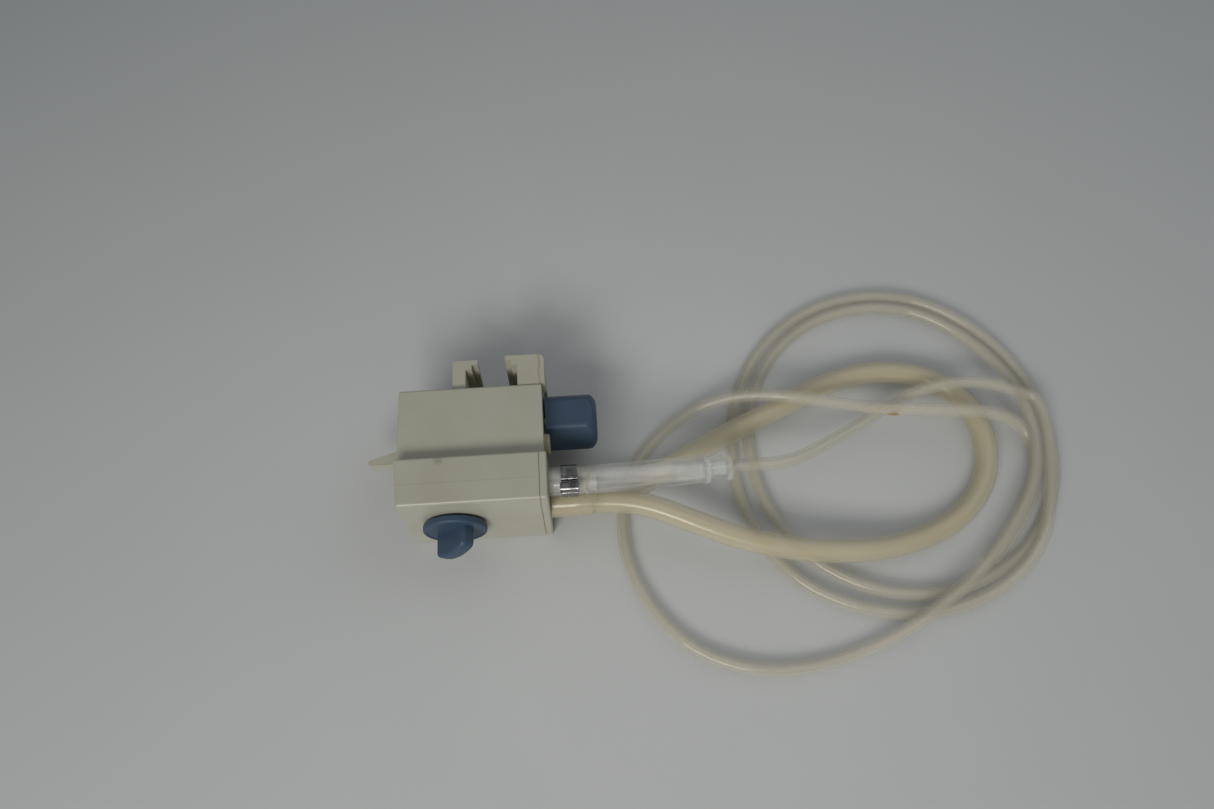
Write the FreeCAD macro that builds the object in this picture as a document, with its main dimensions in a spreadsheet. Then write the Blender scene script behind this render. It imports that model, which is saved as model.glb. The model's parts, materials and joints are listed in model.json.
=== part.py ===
import FreeCAD, Part
import Sketcher
import math
import os
import re

# Rail-mounted suction unit lying on its side, as it rests on a table.
# X runs along the case (hose end at +X), Y from the control knob (-Y) to the rail clamp (+Y), Z is up.
# Origin: middle of the unit's footprint without its hoses, on the resting surface.

Vec = FreeCAD.Vector
doc = FreeCAD.newDocument("suction_unit")

# ---------------------------------------------------------------- driving dimensions (mm)
DIMENSIONS = {
    "left": -35.55,             # left face of the case
    "front": -28.9,             # front face of the case
    "case_length": 65.3,
    "front_depth": 22.0,
    "front_height": 50.0,
    "front_lean": 0.3,          # the left end is this far right of zero at the front ...
    "front_spread": 1.4,        # ... and this far left of it at the rear housing
    "rear_from": -1.0,          # left face of the rear housing
    "rear_length": 65.0,
    "rear_depth": 36.0,
    "rear_height": 44.0,
    "wall": 2.5,
    "edge_round": 1.2,
    "cap_thick": 3.3,
    "gasket_thick": 0.3,
    "rail_gap": 24.0,           # between the two jaw walls at rest
    "rail_depth": 10.2,         # from the case's back face to the first step of the jaws
    "jaw_step": 2.5,            # depth of each step of the jaw profile
    "jaw_reach": 2.8,           # how far each step reaches over the rail
    "fixed_jaw_width": 10.8,
    "moving_jaw_width": 6.0,
    "fixed_jaw_height": 43.0,
    "moving_jaw_height": 39.0,
    "screw_y": 47.5,            # clamp screw axis behind the front face
    "screw_z": 22.0,
    "screw_radius": 4.0,
    "running_gap": 0.05,
    "clamp_knob_flats": 24.6,
    "clamp_knob_length": 23.7,
    "rod_radius": 2.0,
    "rod_spread": 12.0,         # guide rods above and below the clamp screw
    "knob_x": 22.5,             # regulator axis
    "knob_z": 25.0,
    "knob_disc_radius": 14.2,
    "knob_disc_thick": 3.5,
    "knob_bar_length": 20.0,
    "knob_bar_width": 7.0,
    "knob_bar_height": 11.0,
    "spindle_radius": 3.0,
    "lever_thick": 7.0,
    "lever_x": 8.0,             # lever pivot
    "lever_y": 34.0,
    "suction_y": 11.0,          # clear hose port on the end cap
    "suction_z": 39.7,
    "supply_y": 7.5,            # thick hose, first port
    "supply_z": 23.0,
    "exhaust_y": 12.5,          # thick hose, second port
    "exhaust_z": 10.0,
    "clear_hose_radius": 6.5,
    "thick_hose_radius": 5.555, # 7/16 inch outside diameter
    "thin_hose_radius": 3.175,  # 1/4 inch outside diameter
    "barb_length": 21.0,
}

sheet = doc.addObject("Spreadsheet::Sheet", "Dims")
for row, (alias, value) in enumerate(DIMENSIONS.items(), start=1):
    sheet.set(f"A{row}", alias)
    sheet.set(f"B{row}", str(value))
    sheet.setAlias(f"B{row}", alias)
doc.recompute()


def dim(alias):
    """Value of one driving dimension."""
    return float(sheet.get(alias))


def formula(text):
    """The same formula with every alias pointed at the sheet."""
    return re.sub(r"[a-z_]{2,}", lambda match: "Dims." + match.group(0), text)


def bind(obj, prop, value):
    """Set a property from a number, or bind it to a formula of aliases."""
    if isinstance(value, str):
        obj.setExpression(prop, formula(value))
    else:
        setattr(obj, prop, value)


ALONG = {
    "x": FreeCAD.Rotation(Vec(0, 1, 0), 90),
    "y": FreeCAD.Rotation(Vec(1, 0, 0), -90),
    "z": FreeCAD.Rotation(),
}


def place(obj, x, y, z, rotation=None):
    """Place an object from the case's lower front left corner: x right, y back, z up."""
    numbers = []
    for value in (x, y, z):
        numbers.append(value if isinstance(value, (int, float)) else 0.0)
    base = Vec(numbers[0] + dim("left"), numbers[1] + dim("front"), numbers[2])
    obj.Placement = FreeCAD.Placement(base, rotation or FreeCAD.Rotation())
    for axis, value, start in (("x", x, "left + "), ("y", y, "front + "), ("z", z, "")):
        if isinstance(value, str):
            obj.setExpression(f"Placement.Base.{axis}", formula(start + value))


def box(name, size, corner):
    obj = doc.addObject("Part::Box", name)
    for prop, value in zip(("Length", "Width", "Height"), size):
        bind(obj, prop, value)
    place(obj, *corner)
    return obj


def cylinder(name, radius, length, axis, start):
    obj = doc.addObject("Part::Cylinder", name)
    bind(obj, "Radius", radius)
    bind(obj, "Height", length)
    place(obj, *start, rotation=ALONG[axis])
    return obj


def cone(name, radius_a, radius_b, length, axis, start):
    obj = doc.addObject("Part::Cone", name)
    bind(obj, "Radius1", radius_a)
    bind(obj, "Radius2", radius_b)
    bind(obj, "Height", length)
    place(obj, *start, rotation=ALONG[axis])
    return obj


def fuse(name, parts):
    if len(parts) == 1:
        return parts[0]
    obj = doc.addObject("Part::MultiFuse", name)
    obj.Shapes = parts
    obj.Refine = True
    return obj


def cut(name, base, tools):
    obj = doc.addObject("Part::Cut", name)
    obj.Base = base
    obj.Tool = fuse(name + "_tools", tools)
    return obj


def round_edges(name, base, radius, wanted):
    """Round the edges that wanted(edge) picks."""
    doc.recompute()
    obj = doc.addObject("Part::Fillet", name)
    obj.Base = base
    picked = []
    for index, edge in enumerate(base.Shape.Edges, start=1):
        if wanted(edge):
            picked.append((index, radius, radius))
    obj.Edges = picked
    return obj


def direction(edge):
    """Unit direction of a straight edge, or None."""
    if edge.Curve.TypeId != "Part::GeomLine":
        return None
    return edge.Curve.Direction


def runs_along(edge, axis):
    line = direction(edge)
    return line is not None and abs(abs(line.dot(axis)) - 1) < 1e-6


NODES = {}


def node(name, obj):
    """Keep an object as the sub-part that is written to parts/name.step."""
    obj.Label = name
    NODES[name] = obj
    return obj


# ---------------------------------------------------------------- sketched bodies
def new_body(name, x, y, z, rotation=None):
    body = doc.addObject("PartDesign::Body", name)
    place(body, x, y, z, rotation)
    return body


def new_sketch(body, name, role="XY_Plane"):
    sketch = body.newObject("Sketcher::SketchObject", name)
    plane = [feature for feature in body.Origin.OriginFeatures if feature.Role == role][0]
    sketch.AttachmentSupport = [(plane, "")]
    sketch.MapMode = "FlatFace"
    return sketch


def draw_outline(sketch, points):
    """A closed outline of straight lines, each corner placed by two dimensions from the origin."""
    count = len(points)
    numbers = [(evaluate(u), evaluate(v)) for u, v in points]
    for index in range(count):
        start = Vec(*numbers[index], 0)
        end = Vec(*numbers[(index + 1) % count], 0)
        sketch.addGeometry(Part.LineSegment(start, end), False)
    for index in range(count):
        sketch.addConstraint(Sketcher.Constraint("Coincident", index, 2, (index + 1) % count, 1))
    for index, (u, v) in enumerate(points):
        for kind, value, letter, number in (("DistanceX", u, "u", numbers[index][0]),
                                            ("DistanceY", v, "v", numbers[index][1])):
            where = sketch.addConstraint(Sketcher.Constraint(kind, -1, 1, index, 1, number))
            sketch.renameConstraint(where, f"{letter}_{index}")
            if isinstance(value, str):
                sketch.setExpression(f"Constraints.{letter}_{index}", formula(value))


def evaluate(value):
    """Number behind a formula made of aliases, + and -."""
    if not isinstance(value, str):
        return float(value)
    total = 0.0
    for sign, term in re.findall(r"([+-]?)\s*([a-z_]+|[0-9.]+)", value):
        amount = dim(term) if term[0].isalpha() else float(term)
        total += -amount if sign == "-" else amount
    return total


def pad(body, sketch, name, length):
    feature = body.newObject("PartDesign::Pad", name)
    feature.Profile = sketch
    bind(feature, "Length", length)
    body.Tip = feature
    return feature


def round_body(body, name, radius, wanted):
    """Round the edges of the body's present shape that wanted(edge) picks."""
    doc.recompute()
    base = body.Tip
    names = []
    for index, edge in enumerate(base.Shape.Edges, start=1):
        if wanted(edge):
            names.append(f"Edge{index}")
    feature = body.newObject("PartDesign::Fillet", name)
    feature.Base = (base, names)
    bind(feature, "Radius", radius)
    body.Tip = feature
    return feature


X_AXIS = Vec(1, 0, 0)
Y_AXIS = Vec(0, 1, 0)
Z_AXIS = Vec(0, 0, 1)

# ---------------------------------------------------------------- front housing and end cap
shell = new_body("front_shell", 0, 0, 0)
HOUSING_END = dim("case_length") - dim("cap_thick") - dim("gasket_thick")
profile = new_sketch(shell, "front_profile")
draw_outline(profile, [("front_lean", 0), (HOUSING_END, 0), (HOUSING_END, "front_depth"),
                       (-dim("front_spread"), "front_depth")])
pad(shell, profile, "front_pad", "front_height")
round_body(shell, "front_rounds", "edge_round",
           lambda edge: runs_along(edge, X_AXIS) or edge.CenterOfMass.x < 2)

BUSH_RADIUS = 5.0
CORNER_POST = 6.0           # square posts that take the end cap's screws
POST_LENGTH = 10.0
CAP_SCREW_INSET = 3.5
CAP_SCREW_SPOTS = [(y, z) for y in (CAP_SCREW_INSET, dim("front_depth") - CAP_SCREW_INSET)
                   for z in (CAP_SCREW_INSET, dim("front_height") - CAP_SCREW_INSET)]
PORT_SPOTS = {
    "suction": (dim("suction_y"), dim("suction_z")),
    "supply": (dim("supply_y"), dim("supply_z")),
    "exhaust": (dim("exhaust_y"), dim("exhaust_z")),
}

cavity = box("front_cavity",
             ("case_length", "front_depth - 2 * wall", "front_height - 2 * wall"),
             ("wall", "wall", "wall"))
posts = []
for index, (y, z) in enumerate(CAP_SCREW_SPOTS):
    corner_y = dim("wall") if y < dim("front_depth") / 2 else dim("front_depth") - dim("wall") - CORNER_POST / 2
    corner_z = dim("wall") if z < dim("front_height") / 2 else dim("front_height") - dim("wall") - CORNER_POST / 2
    posts.append(box(f"post_{index}", (POST_LENGTH, CORNER_POST / 2, CORNER_POST / 2),
                     (HOUSING_END - POST_LENGTH, corner_y, corner_z)))
hollow = cut("front_cavity_less_posts", cavity, posts)
openings = [hollow,
            cylinder("bush_hole", BUSH_RADIUS + dim("running_gap"), "wall + 1", "y", ("knob_x", -1, "knob_z")),
            cylinder("air_passage", 2.5, 4.0, "y", (44, dim("front_depth") - 3, 25))]
for index, (y, z) in enumerate(CAP_SCREW_SPOTS):
    openings.append(cylinder(f"cap_pilot_{index}", 1.05, 9, "x", (HOUSING_END - 8, y, z)))
JOINING_SPOTS = [(x, z) for x in (6, 58) for z in (8, 36)]
for index, (x, z) in enumerate(JOINING_SPOTS):
    openings.append(cylinder(f"joining_clearance_{index}", 1.6, 4.0, "y", (x, dim("front_depth") - 3, z)))
node("front_housing", cut("front_housing_cut", shell, openings))

cap = new_body("cap_blank", "case_length - cap_thick", 0, 0)
profile = new_sketch(cap, "cap_profile", "YZ_Plane")
draw_outline(profile, [(0, 0), ("front_depth", 0), ("front_depth", "front_height"), (0, "front_height")])
pad(cap, profile, "cap_pad", "cap_thick")
round_body(cap, "cap_rounds", "edge_round",
           lambda edge: runs_along(edge, X_AXIS) or edge.CenterOfMass.x > dim("cap_thick") - 1e-6)
PORT_HOLE = {"suction": 4.7, "supply": 3.3, "exhaust": 3.3}
cap_holes = []
for name, (y, z) in PORT_SPOTS.items():
    cap_holes.append(cylinder(f"cap_hole_{name}", PORT_HOLE[name], 5, "x", (61, y, z)))
for index, (y, z) in enumerate(CAP_SCREW_SPOTS):
    cap_holes.append(cylinder(f"cap_screw_hole_{index}", 1.35, 5, "x", (61, y, z)))
    cap_holes.append(cylinder(f"cap_screw_seat_{index}", 2.1, 2, "x", (63.5, y, z)))
node("end_cap", cut("end_cap_cut", cap, cap_holes))

GASKET_INSET = 0.4
gasket_outer = box("gasket_outer", ("gasket_thick", dim("front_depth") - 2 * GASKET_INSET,
                                    dim("front_height") - 2 * GASKET_INSET),
                   (HOUSING_END, GASKET_INSET, GASKET_INSET))
gasket_holes = []
for name, (y, z) in PORT_SPOTS.items():
    gasket_holes.append(cylinder(f"gasket_hole_{name}", PORT_HOLE[name], 5, "x", (59, y, z)))
for index, (y, z) in enumerate(CAP_SCREW_SPOTS):
    gasket_holes.append(cylinder(f"gasket_screw_hole_{index}", 1.4, 5, "x", (59, y, z)))
node("end_cap_gasket", cut("end_cap_gasket_cut", gasket_outer, gasket_holes))


def screw(name, thread_radius, length, head_radius, head_height, axis, start, back=False):
    """A screw from its head's outer face, pointing along +axis, or along -axis when back is set."""
    x, y, z = start
    step = {"x": Vec(1, 0, 0), "y": Vec(0, 1, 0), "z": Vec(0, 0, 1)}[axis]
    base = Vec(x, y, z)
    head_from = base - step * head_height if back else base
    shank_from = base - step * length if back else base + step * head_height
    head = cylinder(name + "_head", head_radius, head_height, axis, tuple(head_from))
    shank = cylinder(name + "_shank", thread_radius, length - head_height, axis, tuple(shank_from))
    slot_from = base - step * 0.7 if back else base
    recess = cylinder(name + "_recess", head_radius * 0.45, 0.7, axis, tuple(slot_from))
    return cut(name, fuse(name + "_blank", [head, shank]), [recess])


def group(name, parts):
    """Identical separate solids kept in one node."""
    obj = doc.addObject("Part::Compound", name)
    obj.Links = parts
    return node(name, obj)


group("end_cap_screws",
      [screw(f"cap_screw_{index}", 1.0, 9.0, 2.0, 1.4, "x", (64.9, y, z), back=True)
       for index, (y, z) in enumerate(CAP_SCREW_SPOTS)])

# ---------------------------------------------------------------- rear housing
rear = new_body("rear_shell", dim("rear_from"), "front_depth", 0)
profile = new_sketch(rear, "rear_profile", "YZ_Plane")
draw_outline(profile, [(0, 0), ("rear_depth", 0), ("rear_depth", "rear_height"), (0, "rear_height")])
pad(rear, profile, "rear_pad", "rear_length")
round_body(rear, "rear_rounds", "edge_round",
           lambda edge: (runs_along(edge, X_AXIS) and edge.CenterOfMass.y > 1)
           or (runs_along(edge, Z_AXIS) and edge.CenterOfMass.y > 1)
           or (runs_along(edge, Y_AXIS) and edge.CenterOfMass.x < 1))

REAR_INNER_Y = dim("front_depth") + dim("rear_depth") - dim("wall")
BACK = dim("front_depth") + dim("rear_depth")
NECK_FROM, NECK_TO = 24.0, 31.0
NECK_LOW, NECK_HIGH = 10.0, 34.0
JAW_TRAVEL_OPEN = 6.0
JAW_TRAVEL_SHUT = 2.0
CLAMP_BUSH_RADIUS = 6.0
PIN_RADIUS = 1.5
HUB_LOW, HUB_HIGH = 14.3, 29.7
VENT_Y, VENT_Z = 32.0, 33.0
REAR_INNER_FROM, REAR_INNER_TO = 2.1, 61.5
rear_cavity = box("rear_cavity",
                  (REAR_INNER_TO - REAR_INNER_FROM, "rear_depth", "rear_height - 2 * wall"),
                  (REAR_INNER_FROM, "front_depth - wall", "wall"))
rear_posts = []
for index, (x, z) in enumerate(JOINING_SPOTS):
    rear_posts.append(cylinder(f"rear_post_{index}", 4.0, REAR_INNER_Y - 38, "y",
                               (x, dim("front_depth"), z)))
rear_posts.append(cylinder("pivot_post_low", 3.5, HUB_LOW - 0.3, "z", ("lever_x", "lever_y", 0)))
rear_posts.append(cylinder("pivot_post_high", 3.5, dim("rear_height") - HUB_HIGH - 0.3, "z",
                           ("lever_x", "lever_y", HUB_HIGH + 0.3)))
rear_hollow = cut("rear_cavity_less_posts", rear_cavity, rear_posts)
rear_openings = [
    rear_hollow,
    box("lever_slot", (5.0, 12.4, 8.4), (-2, 27.6, 17.8)),
    box("jaw_slot", (NECK_TO - NECK_FROM + JAW_TRAVEL_OPEN + JAW_TRAVEL_SHUT + 0.8, 4.0,
                     NECK_HIGH - NECK_LOW + 0.8),
        (NECK_FROM - JAW_TRAVEL_OPEN - 0.4, REAR_INNER_Y - 1, NECK_LOW - 0.4)),
    cylinder("clamp_bush_hole", CLAMP_BUSH_RADIUS, 4.0, "x", (61, "screw_y", "screw_z")),
    cylinder("lever_pin_bore", PIN_RADIUS, 34.0, "z", ("lever_x", "lever_y", 5)),
    cylinder("vent_hole", 2.6, 4.0, "x", (61, VENT_Y, VENT_Z)),
]
for index, (x, z) in enumerate(JOINING_SPOTS):
    rear_openings.append(cylinder(f"joining_pilot_{index}", 1.2, 10.0, "y", (x, dim("front_depth") - 1, z)))
JAW_SCREW_SPOTS = [(59.0, 12.0), (59.0, 34.0)]
for index, (x, z) in enumerate(JAW_SCREW_SPOTS):
    rear_openings.append(cylinder(f"jaw_screw_hole_{index}", 1.6, 4.0, "y", (x, REAR_INNER_Y - 1, z)))
for index, side in enumerate((-1, 1)):
    rear_openings.append(cylinder(f"rod_hole_{index}", "rod_radius", 61.0, "x",
                                  (1.5, "screw_y", dim("screw_z") + side * dim("rod_spread"))))
node("rear_housing", cut("rear_housing_cut", rear, rear_openings))

group("joining_screws",
      [screw(f"joining_screw_{index}", 1.1, 9.0, 2.4, 1.2, "y", (x, dim("front_depth") - dim("wall") - 1.2, z))
       for index, (x, z) in enumerate(JOINING_SPOTS)])

# ---------------------------------------------------------------- rail clamp
WALL_FIXED = NECK_FROM + 5.2 + dim("rail_gap")     # rail side of the fixed jaw
STEP_Y = BACK + dim("rail_depth")


def jaw_outline(wall, outer, toward, near):
    """Stepped hook: wall beside the rail, two steps reaching over it in the direction toward."""
    step = dim("jaw_step")
    reach = dim("jaw_reach")
    return [(outer, near), (wall, near), (wall, STEP_Y), (wall + toward * reach, STEP_Y),
            (wall + toward * reach, STEP_Y + step), (wall + toward * 2 * reach, STEP_Y + step),
            (wall + toward * 2 * reach, STEP_Y + 2 * step), (outer, STEP_Y + 2 * step)]


fixed = new_body("fixed_jaw_blank", 0, 0, "rear_height - fixed_jaw_height")
profile = new_sketch(fixed, "fixed_jaw_profile")
draw_outline(profile, jaw_outline(WALL_FIXED, WALL_FIXED + dim("fixed_jaw_width") + 1.6, -1, BACK))
pad(fixed, profile, "fixed_jaw_pad", "fixed_jaw_height")
round_body(fixed, "fixed_jaw_rounds", 3.0,
           lambda edge: runs_along(edge, Z_AXIS) and edge.CenterOfMass.x > WALL_FIXED + 5
           and edge.CenterOfMass.y > BACK + 5)
fixed_cuts = [cylinder(f"fixed_jaw_pilot_{index}", 1.2, 9.0, "y", (x, BACK - 1, z))
              for index, (x, z) in enumerate(JAW_SCREW_SPOTS)]
fixed_cuts.append(cylinder("clamp_knob_room", 16.0, 6.0, "x", (64.2, "screw_y", "screw_z")))
node("fixed_jaw", cut("fixed_jaw_cut", fixed, fixed_cuts))
group("fixed_jaw_screws",
      [screw(f"jaw_screw_{index}", 1.1, 9.5, 2.4, 1.2, "y", (x, REAR_INNER_Y - 1.2, z))
       for index, (x, z) in enumerate(JAW_SCREW_SPOTS)])

JAW_GAP = 0.35              # between the moving jaw and the case's back face
MOVING_WALL = WALL_FIXED - dim("rail_gap")
moving = new_body("moving_jaw_blank", 0, 0, "rear_height - moving_jaw_height - 2.5")
profile = new_sketch(moving, "moving_jaw_profile")
draw_outline(profile, jaw_outline(MOVING_WALL, MOVING_WALL - dim("moving_jaw_width"), 1, BACK + JAW_GAP))
pad(moving, profile, "moving_jaw_pad", "moving_jaw_height")
round_body(moving, "moving_jaw_rounds", 0.8,
           lambda edge: runs_along(edge, Z_AXIS) and edge.CenterOfMass.x < MOVING_WALL - 3
           and edge.CenterOfMass.y > BACK + 5)
NUT_Y, NUT_DEPTH = 41.5, 12.0
neck = box("jaw_neck", (MOVING_WALL - NECK_FROM, BACK + 1 - NUT_Y - NUT_DEPTH, NECK_HIGH - NECK_LOW),
           (NECK_FROM, NUT_Y + NUT_DEPTH, NECK_LOW))
node("moving_jaw", fuse("moving_jaw_fused", [moving, neck]))

NUT_X, NUT_LENGTH = 21.0, 13.0
NUT_LOW, NUT_HIGH = 5.5, 38.5
nut_block = box("nut_block", (NUT_LENGTH, NUT_DEPTH, NUT_HIGH - NUT_LOW), (NUT_X, NUT_Y, NUT_LOW))
nut_bores = [cylinder("nut_thread", "screw_radius + running_gap", 15.0, "x", (20, "screw_y", "screw_z"))]
for index, side in enumerate((-1, 1)):
    nut_bores.append(cylinder(f"nut_rod_bore_{index}", "rod_radius + running_gap", 15.0, "x",
                              (20, "screw_y", dim("screw_z") + side * dim("rod_spread"))))
node("jaw_nut", cut("jaw_nut_cut", nut_block, nut_bores))

group("jaw_guide_rods",
      [cylinder(f"guide_rod_{index}", "rod_radius", 60.6, "x",
                (1.7, "screw_y", dim("screw_z") + side * dim("rod_spread")))
       for index, side in enumerate((-1, 1))])

# The screw turns in a flanged bush; a washer and a ring inside keep it from sliding.
KNOB_FROM = 64.9
SCREW_FROM = 12.0
screw_rod = cylinder("screw_rod", "screw_radius", KNOB_FROM + 16 - SCREW_FROM, "x",
                     (SCREW_FROM, "screw_y", "screw_z"))
ring_groove = cut("ring_groove", cylinder("groove_outer", 5.0, 1.2, "x", (56.6, "screw_y", "screw_z")),
                  [cylinder("groove_inner", 3.3, 1.2, "x", (56.6, "screw_y", "screw_z"))])
pin_hole = cylinder("screw_pin_hole", 1.0, 12.0, "z", (74, "screw_y", dim("screw_z") - 6))
node("clamp_screw", cut("clamp_screw_cut", screw_rod, [ring_groove, pin_hole]))
node("clamp_bush", cut("clamp_bush_cut",
     fuse("clamp_bush_blank",
          [cylinder("bush_sleeve", CLAMP_BUSH_RADIUS, 4.6, "x", (59.4, "screw_y", "screw_z")),
           cylinder("bush_flange", 8.0, 1.2, "x", (60.2, "screw_y", "screw_z"))]),
     [cylinder("bush_bore", "screw_radius + running_gap", 8.0, "x", (58, "screw_y", "screw_z"))]))
node("thrust_washer", cut("thrust_washer_cut",
     cylinder("washer_outer", 6.5, 0.8, "x", (58.2, "screw_y", "screw_z")),
     [cylinder("washer_inner", "screw_radius + running_gap", 2.0, "x", (57.5, "screw_y", "screw_z"))]))
node("retaining_ring", cut("retaining_ring_cut",
     cylinder("ring_outer", 5.6, 1.0, "x", (56.7, "screw_y", "screw_z")),
     [cylinder("ring_inner", 3.35, 2.0, "x", (56.2, "screw_y", "screw_z")),
      box("ring_mouth", (2.0, 5.0, 6.0), (56.2, dim("screw_y") + 2.4, dim("screw_z") - 3))]))

HEX_TURN = 1.0              # the knob's flats lean a little towards the front
hexagon = []
for corner in range(6):
    angle = math.radians(60 * corner + HEX_TURN)
    radius = dim("clamp_knob_flats") / math.sqrt(3)
    hexagon.append((radius * math.cos(angle), radius * math.sin(angle)))
knob = new_body("clamp_knob_blank", KNOB_FROM, "screw_y", "screw_z")
profile = new_sketch(knob, "clamp_knob_profile", "YZ_Plane")
draw_outline(profile, hexagon)
pad(knob, profile, "clamp_knob_pad", "clamp_knob_length")
round_body(knob, "clamp_knob_sides", 3.0, lambda edge: runs_along(edge, X_AXIS))
KNOB_TURNED_RADIUS = 13.9   # the hexagon is turned down at its corners and domed at its end
KNOB_END_ROUND = 6.5
turned = cylinder("knob_turned", KNOB_TURNED_RADIUS, "clamp_knob_length", "x", (KNOB_FROM, "screw_y", "screw_z"))
knob_end = dim("left") + KNOB_FROM + dim("clamp_knob_length")
turned = round_edges("knob_turned_end", turned, KNOB_END_ROUND,
                     lambda edge: direction(edge) is None and edge.CenterOfMass.x > knob_end - 1e-6)
knob_blank = doc.addObject("Part::MultiCommon", "clamp_knob_common")
knob_blank.Shapes = [knob, turned]
PIN_LENGTH = 17.5           # driven in from below, blind
PIN_FROM = dim("screw_z") - 10.5
node("clamp_knob", cut("clamp_knob_cut", knob_blank,
     [cylinder("knob_bore", "screw_radius", 16.0, "x", (KNOB_FROM, "screw_y", "screw_z")),
      cylinder("knob_pin_bore", 1.0, PIN_LENGTH + 5.0, "z", (74, "screw_y", PIN_FROM - 5.0))]))
node("clamp_knob_pin", cylinder("clamp_pin", 1.0, PIN_LENGTH, "z", (74, "screw_y", PIN_FROM)))

# Round boss with a sunk vent plug beside the clamp knob.
BOSS_FROM, BOSS_HEIGHT = 64.0, 2.6
boss_end = dim("left") + BOSS_FROM + BOSS_HEIGHT
boss_disc = round_edges("boss_disc_rounded",
                        cylinder("boss_disc", 4.8, BOSS_HEIGHT, "x", (BOSS_FROM, VENT_Y, VENT_Z)), 1.0,
                        lambda edge: direction(edge) is None and edge.CenterOfMass.x > boss_end - 1e-6)
node("vent_boss", cut("vent_boss_cut",
     fuse("vent_boss_blank", [boss_disc,
                              cylinder("boss_spigot", 2.6, 3.5, "x", (61.0, VENT_Y, VENT_Z))]),
     [cylinder("boss_recess", 3.6, 1.6, "x", (65.2, VENT_Y, VENT_Z)),
      cylinder("boss_bore", 1.2, 8.0, "x", (60, VENT_Y, VENT_Z))]))
node("vent_filter", cylinder("vent_filter_disc", 3.5, 0.8, "x", (65.2, VENT_Y, VENT_Z)))

# ---------------------------------------------------------------- regulator
KNOB_GAP = 0.9              # disc clear of the front face
disc = cylinder("knob_disc", "knob_disc_radius", "knob_disc_thick", "y",
                ("knob_x", -KNOB_GAP - dim("knob_disc_thick"), "knob_z"))
disc = round_edges("knob_disc_rounds", disc, 1.0,
                   lambda edge: direction(edge) is None)
disc_front = -KNOB_GAP - dim("knob_disc_thick")
DISH_DEPTH = 0.25           # the disc is dished inside a raised rim
DISH_RADIUS = 12.6
disc = cut("knob_disc_dished", disc,
           [cylinder("knob_dish", DISH_RADIUS, DISH_DEPTH + 1.0, "y", ("knob_x", disc_front - 1.0, "knob_z"))])
BAR_TURN = 46.0             # the wing stands turned from the case's long axis
bar = doc.addObject("Part::Box", "knob_bar")
bind(bar, "Length", "knob_bar_length")
bind(bar, "Width", dim("knob_bar_height") + 1.0)
bind(bar, "Height", "knob_bar_width")
turn = FreeCAD.Rotation(Vec(0, 1, 0), -BAR_TURN)
half = turn.multVec(Vec(dim("knob_bar_length") / 2, 0, dim("knob_bar_width") / 2))
place(bar, dim("knob_x") - half.x, disc_front - dim("knob_bar_height"),
      dim("knob_z") - half.z, turn)
bar_front = dim("front") + disc_front - dim("knob_bar_height")
knob_axis = Vec(dim("left") + dim("knob_x"), 0, dim("knob_z"))
along_bar = turn.multVec(X_AXIS)
across_bar = turn.multVec(Z_AXIS)


def bar_distance(edge):
    """How far an edge lies along the wing from the knob's axis."""
    return (edge.CenterOfMass - knob_axis).dot(along_bar)


ARCH_RADIUS = 25.0          # the wing's front edge is arched, highest a little before the axis
ARCH_TOP = -1.0
ARCH_LENGTH = 12.0
arch = doc.addObject("Part::Cylinder", "knob_bar_arch")
arch.Radius = ARCH_RADIUS
arch.Height = ARCH_LENGTH
arch_start = turn.multVec(Vec(ARCH_TOP, 0, -ARCH_LENGTH / 2))
place(arch, dim("knob_x") + arch_start.x, disc_front - dim("knob_bar_height") + ARCH_RADIUS,
      dim("knob_z") + arch_start.z, turn)
arched = doc.addObject("Part::MultiCommon", "knob_bar_arched")
arched.Shapes = [bar, arch]
bar_heel = round_edges("knob_bar_heel", arched, 3.0,
                       lambda edge: runs_along(edge, across_bar) and edge.CenterOfMass.y < bar_front + 4
                       and bar_distance(edge) > 0)
bar_rounded = round_edges("knob_bar_rounds", bar_heel, 2.0,
                          lambda edge: edge.CenterOfMass.y < dim("front") + disc_front - 0.5)
knob_blank = fuse("regulator_knob_blank", [disc, bar_rounded])
node("regulator_knob", cut("regulator_knob_cut", knob_blank,
     [cylinder("spindle_socket", "spindle_radius", 12.0, "y", ("knob_x", -12, "knob_z")),
      cylinder("set_screw_bore", 1.2, 13.0, "z", ("knob_x", -2.65, dim("knob_z") - 15.0))]))
node("knob_set_screw", cut("knob_set_screw_cut",
     cylinder("set_screw_body", 1.2, 6.0, "z", ("knob_x", -2.65, dim("knob_z") - 9.0)),
     [cylinder("set_screw_socket", 0.6, 1.6, "z", ("knob_x", -2.65, dim("knob_z") - 9.0))]))

node("regulator_spindle", fuse("spindle_fused",
     [cylinder("spindle_rod", "spindle_radius", 20.0, "y", ("knob_x", -12, "knob_z")),
      cylinder("spindle_collar", 4.4, 1.0, "y", ("knob_x", 5.2, "knob_z"))]))
node("spindle_bush", cut("spindle_bush_cut",
     fuse("spindle_bush_blank",
          [cylinder("bush_barrel", BUSH_RADIUS, 5.5, "y", ("knob_x", -0.5, "knob_z")),
           cylinder("bush_collar", 7.0, 1.5, "y", ("knob_x", 2.5, "knob_z"))]),
     [cylinder("spindle_bore", "spindle_radius + running_gap", 8.0, "y", ("knob_x", -2, "knob_z")),
      cylinder("o_ring_room", 4.1, 1.6, "y", ("knob_x", 0.2, "knob_z"))]))
node("spindle_o_ring", cut("spindle_o_ring_cut",
     cylinder("o_ring_outer", 4.0, 1.2, "y", ("knob_x", 0.4, "knob_z")),
     [cylinder("o_ring_inner", "spindle_radius + running_gap", 3.0, "y", ("knob_x", -0.5, "knob_z"))]))
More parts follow.
